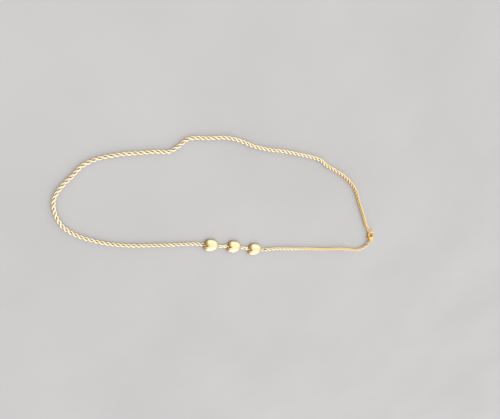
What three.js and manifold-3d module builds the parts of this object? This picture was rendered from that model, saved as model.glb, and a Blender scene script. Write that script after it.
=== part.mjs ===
// Gold rope necklace with three puffed heart stations and a lobster clasp, lying open in one
// whole loop. Units are millimetres, +Z is up and the surface it lies on is z = 0. The hearts are
// at the front (-Y), notch to the left and tip to the right, and the clasp is at the right end.
import * as THREE from "three";
import { mergeVertices } from "three/addons/utils/BufferGeometryUtils.js";
import Module from "manifold-3d";

const wasm = await Module();
wasm.setup();

// Middle of the whole loop's outline in the frame that the places below are given in
const MIDDLE = { x: 0.27, y: -0.95 };

// Rope chain: two twisted strands, with the outer form of a round bar
const ROPE_R = 1.1;
const ROPE_Z = 1.15;
const ROPE_SIDES = 8;
const ROPE_STEP = 5.6;

// Soldered eyes and loose rings: r is the wire's centreline, wire is its radius
const EYE = { r: 0.8, wire: 0.25 };
const CATCH_RING = { r: 1.75, wire: 0.25 };
const TAIL_RING = { r: 1.2, wire: 0.25 };
const RING_SEGMENTS = 16;
const WIRE_SIDES = 6;
const EYE_TO_ROPE = 0.7;

// Heart station, drawn in its own frame: +X to the tip, z = 0 on its seam
const HEART_SEAM_Z = 1.3;
const HEART_TIP = 5.2;
const HEART_NOTCH = -2.2;
const LOBE = { x: -2.2, y: 1.9, r: 2.05, notch_deg: 225, side_deg: 125 };
const HEART_CORNER = { x: -2.4, y: 4.3 };
const HEART_WIDEST = { x: 0.1, y: 4.3 };
const HEART_SHOULDER = [{ x: 2.4, y: 4.3 }, { x: 4.6, y: 2.6 }];
const HEART_MIDDLE = 0;
const HEART_RIM = 0.25;
const HEART_FRONT = 1.75;
const HEART_FLAT = 0.45;
const HEART_RINGS = { front: 8, back: 4 };
const ARC_POINTS = 5;
const NOTCH_EYE = -3.0;
const TIP_EYE = 5.65;

// Where each heart lies, and the angle that its tip points to
const HEARTS = [
  { name: "heart_1", x: -17.2, y: -34.25, heading: -4 },
  { name: "heart_2", x: -1.2, y: -34.5, heading: -4 },
  { name: "heart_3", x: 14.4, y: -35.7, heading: -1 },
];

// Lobster clasp, drawn in its own frame: +X from the tail eye to the hook, +Y to its spine
const CLASP = { x: 109.6, y: -22.9, z: 1.6, heading: 116.5 };
const TAIL = { r: 1.4, hole: 0.65 };
const HOOK = { x: 6.25, r: 2.35, half: 0.6 };
const MOUTH = { from: 5.1, to: 5.95, r: 1.2 };
const BELLY = { tail_x: 1.7, tail_r: 1.35, head_x: 3.8, head_r: 1.85, half: 1.2 };
const BEVEL = 0.25;
const CURVE_POINTS = 10;

// Lever and its rivet: the gate closes the mouth on the -Y side and the knob stands out at +Y
const PIVOT = { x: 2.9, y: -0.1 };
const RIVET = { r: 0.3, head_r: 0.5, head: 0.12 };
const LEVER = { half: 0.35, hub: 1.05, hole: 0.5, tip_r: 3.8 };
const GATE = { root_x: 4.25, shoulder_x: 3.85, inner_y: -1.2, outer_y: -2.6 };
const KNOB = { x: 3.1, y: 2.9, r: 0.5, half: 0.55, arm: 0.42 };
const SLOT = { half: 0.55, hub: 1.35, gate_r: 2.6, knob_r: 4.0 };
const SLOT_GATE_DEG = [-100, 5];
const SLOT_KNOB_DEG = [62, 128];
const GATE_SWEEP_DEG = [-75, -8];
const CLEARANCE = 0.2;

// Where the two rings leave the clasp: the catch ring from a point in the mouth, at part angles
const CATCH = { x: 6.15, y: 0.3, heading: 135, eye: 3.45 };
const TAIL_LINK = { heading: 251, eye: 2.45 };

// Route of the long chain on the surface, from heart 1 round the left end and the back. x, y
const LEFT_ROUTE = [
  [-28.0, -33.8], [-37.0, -34.7], [-46.3, -35.7], [-55.3, -36.4], [-64.2, -37.0], [-72.8, -37.1],
  [-81.2, -36.3], [-89.4, -34.5], [-97.0, -31.8], [-103.8, -27.1], [-108.1, -19.6], [-109.3, -11.0],
  [-106.4, -3.4], [-101.9, 3.3], [-97.7, 9.6], [-91.7, 14.1], [-84.8, 17.1], [-77.6, 19.3],
  [-70.0, 21.0], [-62.5, 22.9], [-55.0, 24.0], [-50.3, 28.2], [-46.0, 32.8], [-34.0, 35.2],
  [-25.5, 36.9], [-16.3, 36.6], [-6.8, 34.8], [3.1, 34.2], [13.2, 34.6], [24.0, 34.4],
  [40.8, 33.0], [46.3, 30.4], [64.6, 24.1], [76.1, 16.9], [85.0, 6.6], [94.4, -4.5],
  [99.0, -10.2], [101.4, -12.4],
];

// Route of the short chain, from the clasp's tail along the front to heart 3. x, y
const RIGHT_ROUTE = [
  [107.8, -28.0], [105.5, -30.3], [100.7, -32.4], [94.5, -32.4], [87.2, -32.0], [82.0, -32.2],
  [68.9, -33.3], [55.7, -33.5], [43.3, -34.2], [31.2, -34.6],
];

const GOLD = { color: 0xe3b868, roughness: 0.28, metalness: 1.0 };
const HEART_GOLD = { color: 0xf0d08c, roughness: 0.24, metalness: 1.0 };

// Fineness of the modelling: closest corners before they weld, smallest step along an outline,
// samples in a curve's length, steps across a bevel, and a block that is larger than the clasp
const WELD = 1e-5;
const SMALLEST_STEP = 0.01;
const LENGTH_SAMPLES = 2000;
const BEVEL_STEPS = 2;
const BLOCK = 20;

const rad = THREE.MathUtils.degToRad;
const necklace = new THREE.Group();
const loop = new THREE.Group();

// A three.js geometry as a solid that can be joined and cut
function solidOf(geometry) {
  const bare = geometry.clone();
  bare.deleteAttribute("normal");
  bare.deleteAttribute("uv");
  const welded = mergeVertices(bare, WELD);
  const vertProperties = new Float32Array(welded.attributes.position.array);
  const triVerts = new Uint32Array(welded.index.array);
  return new wasm.Manifold(new wasm.Mesh({ numProp: 3, vertProperties, triVerts }));
}

function geometryOf(solid) {
  const mesh = solid.getMesh();
  const geometry = new THREE.BufferGeometry();
  geometry.setAttribute("position", new THREE.BufferAttribute(mesh.vertProperties, mesh.numProp));
  geometry.setIndex(new THREE.BufferAttribute(mesh.triVerts, 1));
  geometry.computeVertexNormals();
  return geometry;
}

function addMesh(parent, name, solid, look) {
  const mesh = new THREE.Mesh(geometryOf(solid), new THREE.MeshStandardMaterial(look));
  mesh.name = name;
  parent.add(mesh);
  return mesh;
}

// A point given along a heading from a placed piece
function along(place, distance, z = HEART_SEAM_Z) {
  const a = rad(place.heading);
  return new THREE.Vector3(place.x + distance * Math.cos(a), place.y + distance * Math.sin(a), z);
}

// Wire ring that lies flat, or that stands upright in the plane of its heading
function ring({ r, wire }, { upright = false, heading = 0, at = new THREE.Vector3() } = {}) {
  const torus = new THREE.TorusGeometry(r, wire, WIRE_SIDES, RING_SEGMENTS);
  if (upright) torus.rotateX(Math.PI / 2);
  return torus.rotateZ(rad(heading)).translate(at.x, at.y, at.z);
}

// A flat shape made as thick as 2 * half, with its edges broken by a bevel
function plate(shape, half, bevel = 0) {
  const geometry = new THREE.ExtrudeGeometry(shape, {
    depth: 2 * (half - bevel), bevelEnabled: bevel > 0, bevelThickness: bevel, bevelSize: bevel,
    bevelOffset: -bevel, bevelSegments: BEVEL_STEPS, curveSegments: CURVE_POINTS, steps: 1,
  });
  return solidOf(geometry.translate(0, 0, bevel - half));
}

function disc(x, y, r) {
  return new THREE.Shape().absarc(x, y, r, 0, 2 * Math.PI);
}

function onCircle({ x, y, r }, degrees) {
  return [x + r * Math.cos(rad(degrees)), y + r * Math.sin(rad(degrees))];
}

// Slice of a disc round the lever's pivot
function pie([from, to], r) {
  const shape = new THREE.Shape().moveTo(PIVOT.x, PIVOT.y).lineTo(...onCircle({ ...PIVOT, r }, from));
  return shape.absarc(PIVOT.x, PIVOT.y, r, rad(from), rad(to));
}

// Outline that wraps a circle at each end: r0 round (x0, 0), and r1 round (x1, 0)
function teardrop(x0, r0, x1, r1) {
  const lean = Math.PI / 2 + Math.asin((r1 - r0) / (x1 - x0));
  const shape = new THREE.Shape().absarc(x1, 0, r1, -lean, lean);
  return shape.absarc(x0, 0, r0, lean, 2 * Math.PI - lean);
}

// Rope chain between two end eyes. Each eye: where its centre is, the heading that leads from it
// into the rope, and whether it stands upright
function rope(start, route, end) {
  const laid = route.map(([x, y]) => new THREE.Vector3(x, y, ROPE_Z));
  const [first, last] = [start, end].map(({ at, heading }) => along({ ...at, heading }, EYE_TO_ROPE, at.z));
  const path = new THREE.CatmullRomCurve3([first, ...laid, last]);
  path.arcLengthDivisions = LENGTH_SAMPLES;
  const section = new THREE.Shape();
  for (let i = 0; i < ROPE_SIDES; i += 1) {
    const a = (2 * Math.PI * i) / ROPE_SIDES;
    section[i ? "lineTo" : "moveTo"](ROPE_R * Math.cos(a), ROPE_R * Math.sin(a));
  }
  const steps = Math.max(1, Math.round(path.getLength() / ROPE_STEP));
  const tube = new THREE.ExtrudeGeometry(section, { extrudePath: path, steps, bevelEnabled: false });
  const eyes = [start, end].map((eye) => solidOf(ring(EYE, eye)));
  return solidOf(tube).add(eyes[0]).add(eyes[1]);
}

// Half of the heart's outline, from its notch round one lobe and down the side to its tip
function heartHalf() {
  const [shoulder, tip] = HEART_SHOULDER;
  const shape = new THREE.Shape().moveTo(HEART_NOTCH, 0).lineTo(...onCircle(LOBE, LOBE.notch_deg));
  shape.absarc(LOBE.x, LOBE.y, LOBE.r, rad(LOBE.notch_deg), rad(LOBE.side_deg), true);
  shape.quadraticCurveTo(HEART_CORNER.x, HEART_CORNER.y, HEART_WIDEST.x, HEART_WIDEST.y);
  shape.bezierCurveTo(shoulder.x, shoulder.y, tip.x, tip.y, HEART_TIP, 0);
  const points = shape.getPoints(ARC_POINTS);
  return points.filter((p, i) => i === 0 || p.distanceTo(points[i - 1]) > SMALLEST_STEP);
}

// The whole outline: the half, and its mirror image back from the tip to the notch
function heartOutline() {
  const half = heartHalf();
  const mirrored = half.slice(1, -1).map((p) => new THREE.Vector2(p.x, -p.y));
  return [...mirrored, ...half.reverse()];
}

// Sections of the puffed heart from its flat back over the rim to the front: scale and height
function heartSections() {
  const back = HEART_SEAM_Z - HEART_RIM;
  const sections = [];
  for (let i = HEART_RINGS.back; i >= 0; i -= 1) {
    const a = (Math.PI / 2) * (i / HEART_RINGS.back);
    const scale = HEART_FLAT + (1 - HEART_FLAT) * Math.cos(a);
    sections.push({ scale, z: -HEART_RIM - back * Math.sin(a) });
  }
  for (let i = 0; i < HEART_RINGS.front; i += 1) {
    const a = (Math.PI / 2) * (i / HEART_RINGS.front);
    sections.push({ scale: Math.cos(a), z: HEART_RIM + HEART_FRONT * Math.sin(a) });
  }
  return sections;
}

function puffedHeart() {
  const outline = heartOutline();
  const sections = heartSections();
  const count = outline.length;
  const positions = [];
  for (const { scale, z } of sections) {
    for (const p of outline) positions.push(HEART_MIDDLE + (p.x - HEART_MIDDLE) * scale, p.y * scale, z);
  }
  const last = sections.length - 1;
  positions.push(HEART_MIDDLE, 0, sections[0].z, HEART_MIDDLE, 0, HEART_RIM + HEART_FRONT);
  const [backMiddle, frontMiddle] = [count * (last + 1), count * (last + 1) + 1];
  const index = [];
  for (let i = 0; i < count; i += 1) {
    const j = (i + 1) % count;
    index.push(backMiddle, j, i, frontMiddle, last * count + i, last * count + j);
    for (let k = 0; k < last; k += 1) {
      const [a, b] = [k * count, (k + 1) * count];
      index.push(a + i, a + j, b + j, a + i, b + j, b + i);
    }
  }
  const geometry = new THREE.BufferGeometry();
  geometry.setAttribute("position", new THREE.Float32BufferAttribute(positions, 3));
  geometry.setIndex(index);
  return solidOf(geometry);
}

// Puffed heart with a flat eye soldered in its notch and an upright eye at its tip
function heart() {
  const notchEye = solidOf(ring(EYE, { at: new THREE.Vector3(NOTCH_EYE, 0, 0) }));
  const tipEye = solidOf(ring(EYE, { at: new THREE.Vector3(TIP_EYE, 0, 0), upright: true }));
  const bore = plate(disc(NOTCH_EYE, 0, EYE.r - EYE.wire), HEART_SEAM_Z + HEART_FRONT);
  return puffedHeart().add(notchEye).subtract(bore).add(tipEye);
}

// Part of a solid that lies beyond x
function beyond(solid, x) {
  const block = new THREE.BoxGeometry(BLOCK, BLOCK, BLOCK).translate(x + BLOCK / 2, 0, 0);
  return solid.intersect(solidOf(block));
}

// The teardrop that the hook, gate and tail eye are all cut from
function claspFrame() {
  return plate(teardrop(0, TAIL.r, HOOK.x, HOOK.r), HOOK.half, BEVEL);
}

function claspMouth() {
  return plate(teardrop(MOUTH.from, MOUTH.r, MOUTH.to, MOUTH.r), 2 * BELLY.half);
}

// The way that the lever turns in, as thick as 2 * half
function leverSlot(half) {
  return plate(disc(PIVOT.x, PIVOT.y, SLOT.hub), half)
    .add(plate(pie(SLOT_GATE_DEG, SLOT.gate_r), half))
    .add(plate(pie(SLOT_KNOB_DEG, SLOT.knob_r), half));
}

// Rivet through the slot, with a low head on each cheek
function rivet() {
  const heads = plate(disc(PIVOT.x, PIVOT.y, RIVET.head_r), BELLY.half + RIVET.head, RIVET.head);
  const between = plate(disc(PIVOT.x, PIVOT.y, 2 * RIVET.head_r), SLOT.half + CLEARANCE);
  return heads.subtract(between).add(plate(disc(PIVOT.x, PIVOT.y, RIVET.r), BELLY.half));
}

function claspBody() {
  const { tail_x, tail_r, head_x, head_r, half } = BELLY;
  const belly = plate(teardrop(tail_x, tail_r, head_x, head_r), half, BEVEL);
  const cheeks = belly.subtract(leverSlot(SLOT.half));
  const sweep = plate(pie(GATE_SWEEP_DEG, LEVER.tip_r + CLEARANCE), 2 * half);
  const gateWay = beyond(sweep, GATE.shoulder_x);
  const tailHole = plate(disc(0, 0, TAIL.hole), half);
  const open = claspFrame().subtract(leverSlot(BELLY.half)).add(cheeks).subtract(claspMouth());
  return open.subtract(gateWay).subtract(tailHole).add(rivet());
}

// What the gate takes of the frame: from the hub up past its outer side to the tip's arc
function gateShape() {
  const reach = (y) => Math.asin((y - PIVOT.y) / LEVER.tip_r);
  const shape = new THREE.Shape().moveTo(PIVOT.x, PIVOT.y - LEVER.hub);
  shape.lineTo(GATE.shoulder_x, GATE.outer_y);
  shape.absarc(PIVOT.x, PIVOT.y, LEVER.tip_r, reach(GATE.outer_y), reach(GATE.inner_y));
  shape.lineTo(GATE.root_x, GATE.inner_y);
  return shape.lineTo(PIVOT.x + LEVER.hub, PIVOT.y);
}

function knobArm() {
  const dx = KNOB.x - PIVOT.x;
  const dy = KNOB.y - PIVOT.y;
  const length = Math.hypot(dx, dy);
  const [nx, ny] = [(-dy / length) * KNOB.arm, (dx / length) * KNOB.arm];
  const shape = new THREE.Shape().moveTo(PIVOT.x + nx, PIVOT.y + ny);
  shape.lineTo(KNOB.x + nx, KNOB.y + ny);
  shape.lineTo(KNOB.x - nx, KNOB.y - ny);
  return shape.lineTo(PIVOT.x - nx, PIVOT.y - ny);
}

function claspLever() {
  const rim = claspFrame().subtract(claspMouth());
  const root = rim.intersect(plate(gateShape(), LEVER.half));
  const hub = plate(disc(PIVOT.x, PIVOT.y, LEVER.hub), LEVER.half);
  const thin = root.add(hub).add(plate(knobArm(), LEVER.half));
  const thick = beyond(rim.intersect(plate(gateShape(), BELLY.half)), GATE.root_x);
  const knob = plate(disc(KNOB.x, KNOB.y, KNOB.r), KNOB.half, BEVEL);
  const bore = plate(disc(PIVOT.x, PIVOT.y, LEVER.hole), BELLY.half);
  return thin.add(thick).add(knob).subtract(bore);
}

// A point of the clasp's own frame, in the necklace's frame
function onClasp(x, y) {
  const point = new THREE.Vector3(x, y, 0).applyAxisAngle(new THREE.Vector3(0, 0, 1), rad(CLASP.heading));
  return point.add(new THREE.Vector3(CLASP.x, CLASP.y, CLASP.z));
}

function addHearts() {
  for (const place of HEARTS) {
    const mesh = addMesh(loop, place.name, heart(), HEART_GOLD);
    mesh.position.set(place.x, place.y, HEART_SEAM_Z);
    mesh.rotation.z = rad(place.heading);
  }
}

// Eye that links into a heart's notch, and eye that links onto a heart's tip
function notchLink(place) {
  return { at: along(place, NOTCH_EYE - EYE.r), heading: place.heading + 180, upright: true };
}

function tipLink(place) {
  return { at: along(place, TIP_EYE + EYE.r), heading: place.heading };
}

function addClasp() {
  const clasp = new THREE.Group();
  clasp.position.set(CLASP.x, CLASP.y, CLASP.z);
  clasp.rotation.z = rad(CLASP.heading);
  addMesh(clasp, "clasp_body", claspBody(), GOLD);
  addMesh(clasp, "clasp_lever", claspLever(), GOLD);
  loop.add(clasp);
}

// Loose ring that starts from a point of the clasp and leads away along a heading
function addRing(name, size, from, link, z) {
  const centre = along({ x: from.x, y: from.y, heading: link.heading }, size.r, z);
  addMesh(loop, name, solidOf(ring(size, { upright: true, heading: link.heading, at: centre })), GOLD);
}

// Rope's end eye that lies flat round the far side of a loose ring
function ringEye(from, { heading, eye }) {
  return { at: along({ x: from.x, y: from.y, heading }, eye, CLASP.z), heading };
}

function addChains() {
  const catchPoint = onClasp(CATCH.x, CATCH.y);
  const tailPoint = onClasp(0, 0);
  const [first, middle, last] = HEARTS;
  addMesh(loop, "chain_left", rope(notchLink(first), LEFT_ROUTE, ringEye(catchPoint, CATCH)), GOLD);
  addMesh(loop, "connector_1", rope(tipLink(first), [], notchLink(middle)), GOLD);
  addMesh(loop, "connector_2", rope(tipLink(middle), [], notchLink(last)), GOLD);
  addMesh(loop, "chain_right", rope(ringEye(tailPoint, TAIL_LINK), RIGHT_ROUTE, tipLink(last)), GOLD);
  addRing("catch_ring", CATCH_RING, catchPoint, CATCH, CATCH_RING.r + CATCH_RING.wire);
  addRing("tail_ring", TAIL_RING, tailPoint, TAIL_LINK, CLASP.z);
}

addHearts();
addClasp();
addChains();
loop.position.set(-MIDDLE.x, -MIDDLE.y, 0);
necklace.add(loop);

export default necklace;
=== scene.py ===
"""Gold rope necklace with three puffed hearts and a lobster clasp, dressed for its render.

The necklace lies on z = 0. Lengths are in millimetres, apart from those of the materials and the
floor, which are in Blender's metres.
"""
import math

import bpy
import numpy as np
from mathutils import Matrix, Vector


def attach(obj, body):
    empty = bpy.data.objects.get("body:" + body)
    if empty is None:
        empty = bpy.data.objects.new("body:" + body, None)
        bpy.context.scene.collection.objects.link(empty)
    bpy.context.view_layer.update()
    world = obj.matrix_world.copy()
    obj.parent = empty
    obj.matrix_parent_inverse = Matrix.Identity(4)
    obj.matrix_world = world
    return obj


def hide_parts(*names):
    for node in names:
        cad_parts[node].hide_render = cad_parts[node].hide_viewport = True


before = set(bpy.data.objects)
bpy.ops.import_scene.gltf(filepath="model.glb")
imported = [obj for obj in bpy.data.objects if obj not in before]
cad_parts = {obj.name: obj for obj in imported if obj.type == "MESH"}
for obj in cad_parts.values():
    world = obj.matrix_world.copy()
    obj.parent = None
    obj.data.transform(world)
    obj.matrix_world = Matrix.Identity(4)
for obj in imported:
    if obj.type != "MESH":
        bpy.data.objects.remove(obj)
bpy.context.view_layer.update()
MM = 0.001

# Middle of the whole loop's box, measured as the hearts, clasp and routes below are. The CAD model
# has its origin there, and so do the camera's place and the middle of the painted warm reflection
MIDDLE = np.array([0.27, -0.95, 0.0])

# Camera: its place, the way it looks, the way that is up in its picture, its lens, the width of its
# film, and the nearest and farthest distance that it sees, in metres
CAMERA = {
    "at": (-105.511, 94.343, 208.560), "forward": (0.424611, -0.392498, -0.815874),
    "up": (-0.081802, 0.880827, -0.466318), "lens": 28.8, "film": 36.0, "sees": (0.01, 20.0),
}

# Surroundings: the direction they are brightest in, and their light from the far side (0) to it (1)
BRIGHT_SIDE = (0.45, 0.45, 0.77)
SKY = [(0.45, (0.72, 0.69, 0.65)), (0.75, (1.02, 0.99, 0.95)), (0.96, (1.95, 1.93, 1.89))]

# Key light: the direction it comes from, its angle across in degrees and its strength
KEY = {"from": (0.5, -1.0, 0.45), "angle": 48.0, "strength": 0.9}

# Floor: half its side, its height, how many clouds it has to the metre, their tones, and its surface
FLOOR = {"half": 6.0, "z": -0.0001, "clouds": 12.0, "tones": ((0.43, 0.43, 0.44), (0.46, 0.46, 0.47)),
         "rough": 0.8, "shine": 0.1}

# Noise in the materials: detail is how many finer layers it has, scale how many waves to the metre,
# and a span is the part of its range that is spread from one value to the other
CLOUD_DETAIL = 4.0
CLOUD_SPAN = (0.36, 0.62)
GLOSS_DETAIL = 6.0
GLOSS_SCALE = 1400.0
DENT_DETAIL = 3.0
DENT_SCALE = 900.0
WIDE_SPAN = (0.3, 0.7)

# Golds: the two tones and how many clouds of them to the metre, the least and greatest roughness,
# the strength and depth of the dents, the tone of the painted shade in the hollows, and the span in
# which the measure of how open the surface lies leads from that painted shade to the other tones
ROPE_LOOK = {
    "tones": ((0.98, 0.82, 0.53), (1.0, 0.91, 0.69)), "clouds": 500.0, "rough": (0.14, 0.26),
    "dents": (0.15, 0.00003), "shade_tone": (0.33, 0.17, 0.05), "open": (0.25, 0.67),
}
HEART_LOOK = {
    "tones": ((0.74, 0.57, 0.30), (0.77, 0.66, 0.45)), "clouds": 560.0, "rough": (0.20, 0.38),
    "dents": (1.0, 0.00012), "shade_tone": (0.55, 0.36, 0.15), "open": (0.45, 1.0),
}
CLASP_LOOK = {
    "tones": ((0.75, 0.49, 0.17), (0.90, 0.62, 0.25)), "clouds": 500.0, "rough": (0.20, 0.34),
    "dents": (0.15, 0.00005), "shade_tone": (0.38, 0.22, 0.07), "open": (0.40, 0.50),
}
HOLLOW_ROUGH = 0.45

# Name of the value that each vertex carries for how open it lies, which sets its painted shade
SHADE_MASK_NAME = "painted_shade_mask"

# Painted warm reflection, which deepens the chain's tone towards the clasp: its middle, the
# distances from there at which its deeper tint is full and has ended, and that tint
WARM_REFLECTION = {"at": (0.095, 0.008, 0.0), "reach": (0.020, 0.072), "tint": (0.94, 0.80, 0.52)}

# Rope chain: round links along the route, a step apart, each one turned on from the one before, so
# that their outer sides make two twisted strands. A turn is the length of one whole twist
ROPE_Z = 1.15
ROPE_TURN = 6.0
LINK_STEP = 0.4
LINK = {"r": 0.9, "wire": 0.19, "segments": 22, "sides": 8}
LINKS_A_PIECE = 500

# Steps of the route's curve from one of its points to the next, and the distance to either side of
# a link over which the curve's direction is taken
CURVE_STEPS = 200
CURVE_REACH = 0.05

# Rings: r is to the middle of the wire, and wire is the wire's own radius
EYE = {"r": 0.8, "wire": 0.25, "segments": 32, "sides": 12}
CATCH_RING = {"r": 1.75, "wire": 0.25, "segments": 64, "sides": 16}
TAIL_RING = {"r": 1.2, "wire": 0.25, "segments": 64, "sides": 16}
EYE_TO_ROPE = 0.7

# Heart station, with +X to its tip and z = 0 on its seam. Half of the outline runs from the notch
# out to the lobe, round it between the two angles, and by its corner, widest point and shoulder
# down the side to the tip
HEART_SEAM_Z = 1.3
HEART_TIP = 5.2
HEART_NOTCH = -2.2
LOBE = {"x": -2.2, "y": 1.9, "r": 2.05, "notch": 225.0, "side": 125.0}
HEART_CORNER = (-2.4, 4.3)
HEART_WIDEST = (0.1, 4.3)
HEART_SHOULDER = ((2.4, 4.3), (4.6, 2.6))
OUTLINE_STEPS = {"notch": 5, "lobe": 23, "corner": 23, "shoulder": 47}

# Its sections: half the height of the rim, the rise of the front over it, and the part of the
# outline's size that the flat back has
HEART_RIM = 0.25
HEART_FRONT = 1.75
HEART_FLAT = 0.45
BACK_SECTIONS = 12
FRONT_SECTIONS = 27

# Its eyes' places, and the distances from the notch eye and from the lobes' ends at which the painted
# shade there has faded out and its gold lies fully open
NOTCH_EYE = -3.0
TIP_EYE = 5.65
BORE_SIDES = 32
NOTCH_SHADE_REACH = 2.0
LOBES_SHADE_REACH = 1.7
HEARTS = [
    {"name": "heart_1", "x": -17.2, "y": -34.25, "heading": -4.0},
    {"name": "heart_2", "x": -1.2, "y": -34.5, "heading": -4.0},
    {"name": "heart_3", "x": 14.4, "y": -35.7, "heading": -1.0},
]

# Castings: how fine their even meshes are, and how often and how strongly these are smoothed
HEART_FINE = 0.08
CLASP_FINE = 0.06
SMOOTH_PASSES = 6
SMOOTH_SHARE = 0.5

# Clasp, with +X from its tail hole to its hook. Catch and tail are the two ends: where the ring is
# held, which way it lies from there and how far out the chain's end eye is
CLASP = {"x": 109.6, "y": -22.9, "z": 1.6, "heading": 116.5}
CATCH = {"x": 6.15, "y": 0.3, "heading": 135.0, "eye": 3.45}
TAIL = {"x": 0.0, "y": 0.0, "heading": 251.0, "eye": 2.45}

# Route of the long chain on the surface, from heart 1 round the left end and the back. x, y
LEFT_ROUTE = [
    (-28.0, -33.8), (-37.0, -34.7), (-46.3, -35.7), (-55.3, -36.4), (-64.2, -37.0), (-72.8, -37.1),
    (-81.2, -36.3), (-89.4, -34.5), (-97.0, -31.8), (-103.8, -27.1), (-108.1, -19.6),
    (-109.3, -11.0), (-106.4, -3.4), (-101.9, 3.3), (-97.7, 9.6), (-91.7, 14.1), (-84.8, 17.1),
    (-77.6, 19.3), (-70.0, 21.0), (-62.5, 22.9), (-55.0, 24.0), (-50.3, 28.2), (-46.0, 32.8),
    (-34.0, 35.2), (-25.5, 36.9), (-16.3, 36.6), (-6.8, 34.8), (3.1, 34.2), (13.2, 34.6),
    (24.0, 34.4), (40.8, 33.0), (46.3, 30.4), (64.6, 24.1), (76.1, 16.9), (85.0, 6.6),
    (94.4, -4.5), (99.0, -10.2), (101.4, -12.4),
]

# Route of the short chain, from the clasp's tail along the front to heart 3. x, y
RIGHT_ROUTE = [
    (107.8, -28.0), (105.5, -30.3), (100.7, -32.4), (94.5, -32.4), (87.2, -32.0), (82.0, -32.2),
    (68.9, -33.3), (55.7, -33.5), (43.3, -34.2), (31.2, -34.6),
]


# ---------------------------------------------------------------- materials

def nodes_of(name):
    """New material, its node tree and its shader"""
    material = bpy.data.materials.new(name)
    material.use_nodes = True
    tree = material.node_tree
    return material, tree, tree.nodes["Principled BSDF"]


def noise(tree, scale, detail):
    """Noise over the object's own metres, so that it has the same size on every piece"""
    place = tree.nodes.new("ShaderNodeTexCoord")
    made = tree.nodes.new("ShaderNodeTexNoise")
    made.inputs["Scale"].default_value = scale
    made.inputs["Detail"].default_value = detail
    tree.links.new(place.outputs["Object"], made.inputs["Vector"])
    return made.outputs["Fac"]


def ramp(tree, value, stops):
    """Colour or number that the value leads to, by stops of a position and what it has there"""
    made = tree.nodes.new("ShaderNodeValToRGB")
    elements = made.color_ramp.elements
    # A new ramp has two stops. Any more start halfway, and then each gets its own position
    while len(elements) < len(stops):
        elements.new(0.5)
    for element, (position, colour) in zip(elements, stops):
        element.position = position
        element.color = (*colour, 1.0) if isinstance(colour, tuple) else (colour, colour, colour, 1.0)
    tree.links.new(value, made.inputs["Fac"])
    return made.outputs["Color"]


def between(tree, value, span, start, end):
    """From start to end while the value crosses the span"""
    return ramp(tree, value, [(span[0], start), (span[1], end)])


def mixed(tree, share, low, high, kind="MIX"):
    """Colour from low to high by the share, each of them a colour or a socket"""
    made = tree.nodes.new("ShaderNodeMix")
    made.data_type = "RGBA"
    made.blend_type = kind
    # The node has sockets of the same names for numbers, vectors and colours: these are for colours
    share_socket, low_socket, high_socket = made.inputs[0], made.inputs[6], made.inputs[7]
    for socket, value in ((share_socket, share), (low_socket, low), (high_socket, high)):
        if isinstance(value, bpy.types.NodeSocket):
            tree.links.new(value, socket)
        else:
            socket.default_value = (*value, 1.0)
    return made.outputs[2]


def painted_shade_mask(tree):
    """How open the gold lies here, which sets its painted shade: 0 in the hollows and 1 where it is open
    """
    made = tree.nodes.new("ShaderNodeAttribute")
    made.attribute_name = SHADE_MASK_NAME
    return made.outputs["Fac"]


def edges(tree):
    """0 in creases, a half on even ground and 1 along edges"""
    return tree.nodes.new("ShaderNodeNewGeometry").outputs["Pointiness"]


def warm_reflection_share(tree):
    """1 near the clasp, where a warm reflection is painted into the chain's tone, 0 far from there"""
    place = tree.nodes.new("ShaderNodeTexCoord")
    away = tree.nodes.new("ShaderNodeVectorMath")
    away.operation = "DISTANCE"
    away.inputs[1].default_value = WARM_REFLECTION["at"]
    tree.links.new(place.outputs["Object"], away.inputs[0])
    return between(tree, away.outputs["Value"], WARM_REFLECTION["reach"], 1.0, 0.0)


def gold(name, look, how_open):
    """Polished gold: clouded between two tones, darkened by painted shade in its hollows, unevenly
    polished, dented
    """
    material, tree, shader = nodes_of(name)
    link = tree.links.new
    clouds = between(tree, noise(tree, look["clouds"], CLOUD_DETAIL), CLOUD_SPAN, *look["tones"])
    unshaded_part = between(tree, how_open(tree), look["open"], 0.0, 1.0)
    shader.inputs["Metallic"].default_value = 1.0
    # Painted shade: the hollows take the darker tone, and the open gold the clouded tones
    link(mixed(tree, unshaded_part, look["shade_tone"], clouds), shader.inputs["Base Color"])
    uneven = between(tree, noise(tree, GLOSS_SCALE, GLOSS_DETAIL), WIDE_SPAN, *look["rough"])
    link(mixed(tree, unshaded_part, (HOLLOW_ROUGH,) * 3, uneven), shader.inputs["Roughness"])
    bump = tree.nodes.new("ShaderNodeBump")
    bump.inputs["Strength"].default_value, bump.inputs["Distance"].default_value = look["dents"]
    link(noise(tree, DENT_SCALE, DENT_DETAIL), bump.inputs["Height"])
    link(bump.outputs["Normal"], shader.inputs["Normal"])
    return material


def rope_gold():
    """The chain's gold, with a painted warm reflection that deepens it towards the clasp"""
    material = gold("rope_gold", ROPE_LOOK, painted_shade_mask)
    tree = material.node_tree
    shader = tree.nodes["Principled BSDF"]
    plain = shader.inputs["Base Color"].links[0].from_socket
    # Painted warm reflection: the chain's tone deepens towards the clasp
    warm_reflected = mixed(tree, warm_reflection_share(tree), plain, WARM_REFLECTION["tint"], "MULTIPLY")
    tree.links.new(warm_reflected, shader.inputs["Base Color"])
    return material


ROPE_GOLD = rope_gold()
HEART_GOLD = gold("heart_gold", HEART_LOOK, painted_shade_mask)
# The clasp's painted shade darkens its creases, where the surface's pointiness is low
CLASP_GOLD = gold("clasp_gold", CLASP_LOOK, edges)


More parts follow.
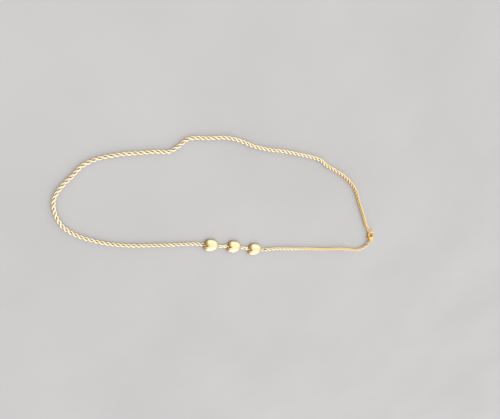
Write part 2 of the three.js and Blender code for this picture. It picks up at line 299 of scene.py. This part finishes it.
def floor_material():
    """Matt pale grey with faint clouds"""
    material, tree, shader = nodes_of("floor")
    pale = between(tree, noise(tree, FLOOR["clouds"], CLOUD_DETAIL), WIDE_SPAN, *FLOOR["tones"])
    tree.links.new(pale, shader.inputs["Base Color"])
    shader.inputs["Roughness"].default_value = FLOOR["rough"]
    shader.inputs["Specular IOR Level"].default_value = FLOOR["shine"]
    return material


# ---------------------------------------------------------------- shapes

def ahead(start, heading, distance):
    """Point that lies the distance from the start, level with it and in the heading's direction"""
    a = math.radians(heading)
    return np.array([start[0] + distance * math.cos(a), start[1] + distance * math.sin(a), start[2]])


def curve(points, spacing, inset):
    """Centripetal Catmull-Rom spline through the points, sampled evenly from inset to inset.

    Gives each sample's place and the spline's direction there.
    """
    knots = np.array([2 * points[0] - points[1], *points, 2 * points[-1] - points[-2]])
    fine = [points[0]]
    u = np.linspace(0.0, 1.0, CURVE_STEPS + 1)[1:, None]
    for a, b, c, d in zip(knots, knots[1:], knots[2:], knots[3:]):
        ab, bc, cd = [math.sqrt(np.linalg.norm(v)) for v in (b - a, c - b, d - c)]
        leave = ((b - a) / ab - (c - a) / (ab + bc) + (c - b) / bc) * bc
        arrive = ((c - b) / bc - (d - b) / (bc + cd) + (d - c) / cd) * bc
        fine.extend(b + leave * u + (3 * (c - b) - 2 * leave - arrive) * u ** 2
                    + (2 * (b - c) + leave + arrive) * u ** 3)
    fine = np.array(fine)
    length = np.r_[0.0, np.cumsum(np.linalg.norm(np.diff(fine, axis=0), axis=1))]
    count = round((length[-1] - 2 * inset) / spacing) + 1
    samples = np.linspace(inset, length[-1] - inset, count)

    def place(distances):
        return np.array([np.interp(distances, length, fine[:, axis]) for axis in range(3)]).T

    tangent = place(samples + CURVE_REACH) - place(samples - CURVE_REACH)
    return place(samples), tangent / np.linalg.norm(tangent, axis=1)[:, None]


def mesh_piece(name, vertices, faces, material, replaced, openness=1.0):
    """Smooth piece of the necklace's body in place of a CAD node. The last argument, how open each
    vertex lies, sets its painted shade
    """
    mesh = bpy.data.meshes.new(name)
    mesh.from_pydata((np.asarray(vertices) - MIDDLE) * MM, [], faces)
    mesh.update()
    values = mesh.attributes.new(SHADE_MASK_NAME, "FLOAT", "POINT").data
    values.foreach_set("value", openness * np.ones(len(vertices)))
    piece = bpy.data.objects.new(name, mesh)
    bpy.context.collection.objects.link(piece)
    smooth(mesh)
    mesh.materials.append(material)
    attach(piece, "necklace")
    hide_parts(replaced)


def smooth(mesh):
    """Shades the mesh as a round surface"""
    mesh.polygons.foreach_set("use_smooth", np.ones(len(mesh.polygons), bool))


def torus(centre, across, up, ring):
    """Ring of round wire in the plane of across and up. Vertices and quads"""
    normal = np.cross(across, up)
    a = np.linspace(0.0, 2 * math.pi, ring["segments"], endpoint=False)[:, None, None]
    b = np.linspace(0.0, 2 * math.pi, ring["sides"], endpoint=False)[None, :, None]
    out = np.cos(a) * across + np.sin(a) * up
    vertices = centre + out * (ring["r"] + ring["wire"] * np.cos(b)) + normal * ring["wire"] * np.sin(b)
    return vertices.reshape(-1, 3), ring_faces(ring["segments"], ring["sides"])


def ring_faces(segments, sides):
    """Quads of a closed ring, whose vertices run round the wire and then along it"""
    i = np.arange(segments)[:, None]
    j = np.arange(sides)[None, :]
    i2 = (i + 1) % segments
    j2 = (j + 1) % sides
    quads = np.stack([i * sides + j, i2 * sides + j, i2 * sides + j2, i * sides + j2], axis=-1)
    return quads.reshape(-1, 4)


def joined(parts):
    """Several (vertices, faces, how open each vertex lies) as one"""
    vertices = []
    faces = []
    openness = []
    count = 0
    for part_vertices, part_faces, part_openness in parts:
        vertices.append(part_vertices)
        faces.extend((part_faces + count).tolist())
        openness.append(np.broadcast_to(part_openness, len(part_vertices)))
        count += len(part_vertices)
    return np.concatenate(vertices), faces, np.concatenate(openness)


def eye_ring(centre, heading, upright, ring=EYE):
    """Ring that stands in the heading's direction, or lies flat"""
    a = math.radians(heading)
    across = np.array([math.cos(a), math.sin(a), 0.0])
    up = np.array([0.0, 0.0, 1.0]) if upright else np.array([-across[1], across[0], 0.0])
    return torus(centre, across, up, ring)


def rope_link(centre, forward, turn):
    """Link whose plane holds the rope's direction and is turned about it, and how open each vertex lies,
    for painted shade
    """
    side = np.cross([0.0, 0.0, 1.0], forward)
    side /= np.linalg.norm(side)
    top = np.cross(forward, side)
    across = math.cos(turn) * side + math.sin(turn) * top
    vertices, faces = torus(centre, across, forward, LINK)
    # How far each vertex lies from the rope's axis, which sets the painted shade between the strands
    off = vertices - centre
    from_axis = np.linalg.norm(off - np.outer(off @ forward, forward), axis=1)
    return vertices, faces, from_axis / (LINK["r"] + LINK["wire"])


def rope(start, route, end):
    """Links along the route from one end eye to the other, and the two eyes.

    Painted shade darkens a long rope between its strands. A connector, which has no route between its
    ends, gets none.
    """
    laid = [np.array([x, y, ROPE_Z]) for x, y in route]
    first, last = [ahead(eye["at"], eye["heading"], EYE_TO_ROPE) for eye in (start, end)]
    links = []
    for k, (centre, forward) in enumerate(zip(*curve([first, *laid, last], LINK_STEP, LINK["r"]))):
        turn = 2 * math.pi * LINK_STEP / ROPE_TURN * k
        vertices, faces, openness = rope_link(centre, forward, turn)
        links.append((vertices, faces, openness if route else 1.0))
    eyes = [(*eye_ring(eye["at"], eye["heading"], eye["upright"]), 1.0) for eye in (start, end)]
    return links, eyes


def bezier(controls, steps):
    """Points along the curve that its control points shape, without the first"""
    u = np.linspace(0.0, 1.0, steps + 1)[1:, None]
    degree = len(controls) - 1
    return sum(math.comb(degree, i) * u ** i * (1 - u) ** (degree - i) * np.array(point)
               for i, point in enumerate(controls))


def heart_half():
    """Half of the outline, from the notch round one lobe and down the side to the tip"""
    a = np.radians(np.linspace(LOBE["notch"], LOBE["side"], OUTLINE_STEPS["lobe"] + 1))
    lobe = np.c_[LOBE["x"] + LOBE["r"] * np.cos(a), LOBE["y"] + LOBE["r"] * np.sin(a)]
    notch = np.array([HEART_NOTCH, 0.0])
    into = np.linspace(0.0, 1.0, OUTLINE_STEPS["notch"] + 1)[:-1, None] * (lobe[0] - notch) + notch
    side = bezier([lobe[-1], HEART_CORNER, HEART_WIDEST], OUTLINE_STEPS["corner"])
    down = bezier([HEART_WIDEST, *HEART_SHOULDER, (HEART_TIP, 0.0)], OUTLINE_STEPS["shoulder"])
    return np.concatenate([into, lobe, side, down])


def heart_sections():
    """Scale and height of each section, from the flat back round the rim nearly to the front's top"""
    back = HEART_SEAM_Z - HEART_RIM
    behind = [(HEART_FLAT + (1 - HEART_FLAT) * math.cos(a), -HEART_RIM - back * math.sin(a))
              for a in np.linspace(math.pi / 2, 0.0, BACK_SECTIONS)]
    before = [(math.cos(a), HEART_RIM + HEART_FRONT * math.sin(a))
              for a in np.linspace(0.0, math.pi / 2, FRONT_SECTIONS + 1)[:-1]]
    return behind + before


def heart_shell():
    """Puffed shell: the outline at each section's scale and height, closed at its back and top"""
    half = heart_half()
    outline = np.concatenate([half[1:-1] * [1, -1], half[::-1]])
    sections = heart_sections()
    count = len(outline)
    rings = [np.c_[outline * scale, np.full(count, z)] for scale, z in sections]
    vertices = np.concatenate([*rings, [[0, 0, sections[0][1]], [0, 0, HEART_RIM + HEART_FRONT]]])
    back, top = len(vertices) - 2, len(vertices) - 1
    last = len(sections) - 1
    faces = []
    for i in range(count):
        j = (i + 1) % count
        faces.append((back, j, i))
        faces.append((top, last * count + i, last * count + j))
        for k in range(last):
            faces.append((k * count + i, k * count + j, (k + 1) * count + j, (k + 1) * count + i))
    return vertices, faces


def rod(x, r, half, sides):
    """Round rod that stands on end at x"""
    a = np.linspace(0.0, 2 * math.pi, sides, endpoint=False)
    rim = np.c_[x + r * np.cos(a), r * np.sin(a)]
    vertices = np.r_[np.c_[rim, np.full(sides, -half)], np.c_[rim, np.full(sides, half)]]
    faces = [(i, (i + 1) % sides, (i + 1) % sides + sides, i + sides) for i in range(sides)]
    faces += [tuple(range(sides))[::-1], tuple(range(sides, 2 * sides))]
    return vertices, faces


def solid(name, vertices, faces):
    """Object of the vertices and faces, to cut, join or soften"""
    mesh = bpy.data.meshes.new(name)
    mesh.from_pydata(vertices, [], [tuple(int(i) for i in face) for face in faces])
    made = bpy.data.objects.new(name, mesh)
    bpy.context.collection.objects.link(made)
    return made


def settle(piece):
    """Puts what the modifiers make into the piece's own mesh"""
    bpy.context.view_layer.update()
    done = bpy.data.meshes.new_from_object(piece.evaluated_get(bpy.context.evaluated_depsgraph_get()))
    piece.modifiers.clear()
    piece.data = done


def cut_or_join(body, tool, operation):
    """Joins the tool onto the body or cuts it away, and removes the tool"""
    change = body.modifiers.new(operation, "BOOLEAN")
    change.operation = operation
    change.object = tool
    change.solver = "EXACT"
    settle(body)
    bpy.data.objects.remove(tool)


def soften(piece, fine):
    """Even fine mesh with the edges and solder joints rounded, as cast and polished metal is"""
    even = piece.modifiers.new("even", "REMESH")
    even.mode = "VOXEL"
    even.voxel_size = fine
    soft = piece.modifiers.new("soft", "SMOOTH")
    soft.factor = SMOOTH_SHARE
    soft.iterations = SMOOTH_PASSES
    settle(piece)


# ---------------------------------------------------------------- the necklace

def heart_mesh():
    """Puffed shell with a flat eye soldered in its notch and an upright eye at its tip"""
    body = solid("heart", *heart_shell())
    notch = solid("notch", *eye_ring(np.array([NOTCH_EYE, 0.0, 0.0]), 0.0, False))
    bore = solid("bore", *rod(NOTCH_EYE, EYE["r"] - EYE["wire"], HEART_SEAM_Z + HEART_FRONT, BORE_SIDES))
    tip = solid("tip", *eye_ring(np.array([TIP_EYE, 0.0, 0.0]), 0.0, True))
    cut_or_join(body, notch, "UNION")
    cut_or_join(body, bore, "DIFFERENCE")
    cut_or_join(body, tip, "UNION")
    soften(body, HEART_FINE)
    vertices = np.array([v.co for v in body.data.vertices])
    faces = [tuple(f.vertices) for f in body.data.polygons]
    bpy.data.objects.remove(body)
    return vertices, faces


def add_hearts():
    """Three hearts of one mesh, with painted shade in the notch and at the lobes' ends"""
    vertices, faces = heart_mesh()
    from_notch = np.linalg.norm(vertices - [NOTCH_EYE, 0.0, 0.0], axis=1)
    from_lobes = vertices[:, 0] - (LOBE["x"] - LOBE["r"])
    # Painted shade in the notch and at the lobes' ends, fading out with the distance from them
    openness = np.minimum(from_notch / NOTCH_SHADE_REACH, from_lobes / LOBES_SHADE_REACH)
    for place in HEARTS:
        a = math.radians(place["heading"])
        turn = np.array([[math.cos(a), math.sin(a), 0], [-math.sin(a), math.cos(a), 0], [0, 0, 1]])
        placed = vertices @ turn + [place["x"], place["y"], HEART_SEAM_Z]
        mesh_piece(place["name"] + "_gold", placed, faces, HEART_GOLD, place["name"], openness)


def heart_link(heart, distance, heading, upright):
    """End eye of a rope, on the heart's middle line and turned away from it"""
    centre = ahead((heart["x"], heart["y"], HEART_SEAM_Z), heart["heading"], distance)
    return {"at": centre, "heading": heading, "upright": upright}


def notch_link(heart):
    """End eye that hangs in the heart's notch eye"""
    return heart_link(heart, NOTCH_EYE - EYE["r"], heart["heading"] + 180.0, True)


def tip_link(heart):
    """End eye that hangs in the heart's tip eye"""
    return heart_link(heart, TIP_EYE + EYE["r"], heart["heading"], False)


def on_clasp(end, z):
    """Place on the necklace of a point given on the clasp, at the height z"""
    a = math.radians(CLASP["heading"])
    return np.array([CLASP["x"] + end["x"] * math.cos(a) - end["y"] * math.sin(a),
                     CLASP["y"] + end["x"] * math.sin(a) + end["y"] * math.cos(a), z])


def clasp_link(end):
    """End eye that hangs in the ring at this end of the clasp"""
    centre = ahead(on_clasp(end, CLASP["z"]), end["heading"], end["eye"])
    return {"at": centre, "heading": end["heading"], "upright": False}


def chain(name, start, route, end):
    """Rope from one end eye to the other, in as many pieces as its links need"""
    links, eyes = rope(start, route, end)
    count = math.ceil(len(links) / LINKS_A_PIECE)
    for i, share in enumerate(np.array_split(np.arange(len(links)), count)):
        vertices, faces, openness = joined([links[k] for k in share] + (eyes if i == 0 else []))
        mesh_piece(f"{name}_links_{i + 1}", vertices, faces, ROPE_GOLD, name, openness)


def loose_ring(name, ring, end, z):
    """Upright ring that hangs in this end of the clasp"""
    centre = ahead(on_clasp(end, z), end["heading"], ring["r"])
    vertices, faces = eye_ring(centre, end["heading"], True, ring)
    mesh_piece(name + "_gold", vertices, faces.tolist(), CLASP_GOLD, name)


def add_chains():
    """The two long ropes, the two connectors between the hearts and the clasp's two rings"""
    first, middle, last = HEARTS
    chain("chain_left", notch_link(first), LEFT_ROUTE, clasp_link(CATCH))
    chain("connector_1", tip_link(first), [], notch_link(middle))
    chain("connector_2", tip_link(middle), [], notch_link(last))
    chain("chain_right", clasp_link(TAIL), RIGHT_ROUTE, tip_link(last))
    loose_ring("catch_ring", CATCH_RING, CATCH, CATCH_RING["r"] + CATCH_RING["wire"])
    loose_ring("tail_ring", TAIL_RING, TAIL, CLASP["z"])


def casting(node, body):
    """The node's own form, softened. It is in millimetres while it is remeshed"""
    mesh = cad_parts[node].data.copy()
    mesh.transform(Matrix.Scale(1 / MM, 4))
    piece = bpy.data.objects.new(node + "_gold", mesh)
    bpy.context.collection.objects.link(piece)
    soften(piece, CLASP_FINE)
    piece.data.transform(Matrix.Scale(MM, 4))
    smooth(piece.data)
    piece.data.materials.clear()
    piece.data.materials.append(CLASP_GOLD)
    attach(piece, body)
    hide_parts(node)


def add_clasp():
    """The claw, and the lever that turns on it"""
    casting("clasp_body", "necklace")
    casting("clasp_lever", "lever")


# ---------------------------------------------------------------- studio

def add_camera():
    """Camera that was fitted to the photograph"""
    camera = bpy.data.objects.new("camera", bpy.data.cameras.new("camera"))
    bpy.context.collection.objects.link(camera)
    forward, up = Vector(CAMERA["forward"]), Vector(CAMERA["up"])
    axes = Matrix((forward.cross(up), up, -forward)).transposed()
    camera.matrix_world = Matrix.Translation(Vector(CAMERA["at"]) * MM) @ axes.to_4x4()
    camera.data.lens = CAMERA["lens"]
    camera.data.sensor_width = CAMERA["film"]
    camera.data.clip_start, camera.data.clip_end = CAMERA["sees"]
    bpy.context.scene.camera = camera


def add_light():
    """One broad soft light from low in front, which lights the whole floor alike"""
    data = bpy.data.lights.new("key", "SUN")
    data.angle = math.radians(KEY["angle"])
    data.energy = KEY["strength"]
    light = bpy.data.objects.new("key", data)
    light.rotation_euler = (-Vector(KEY["from"])).to_track_quat("-Z", "Y").to_euler()
    bpy.context.collection.objects.link(light)


def add_floor():
    """Wide floor, just under the necklace"""
    mesh = bpy.data.meshes.new("floor")
    half = FLOOR["half"]
    mesh.from_pydata([(-half, -half, 0), (half, -half, 0), (half, half, 0), (-half, half, 0)], [],
                     [(0, 1, 2, 3)])
    mesh.materials.append(floor_material())
    floor = bpy.data.objects.new("floor", mesh)
    bpy.context.collection.objects.link(floor)
    floor.location.z = FLOOR["z"]


def studio_world():
    """Soft pale surroundings, brighter towards one side"""
    world = bpy.data.worlds.new("studio")
    world.use_nodes = True
    tree = world.node_tree
    place = tree.nodes.new("ShaderNodeTexCoord")
    towards = tree.nodes.new("ShaderNodeVectorMath")
    towards.operation = "DOT_PRODUCT"
    towards.inputs[1].default_value = BRIGHT_SIDE
    tree.links.new(place.outputs["Generated"], towards.inputs[0])
    # The product runs from -1 to 1, and half of it and a half from 0 to 1
    share = tree.nodes.new("ShaderNodeMath")
    share.operation = "MULTIPLY_ADD"
    share.inputs[1].default_value = 0.5
    share.inputs[2].default_value = 0.5
    tree.links.new(towards.outputs["Value"], share.inputs[0])
    light = ramp(tree, share.outputs["Value"], SKY)
    tree.links.new(light, tree.nodes["Background"].inputs["Color"])
    bpy.context.scene.world = world


def add_studio():
    """Floor, surroundings and key light, shown with their true colours"""
    add_floor()
    studio_world()
    add_light()
    bpy.context.scene.view_settings.view_transform = "Standard"


add_camera()
add_studio()
add_hearts()
add_chains()
add_clasp()
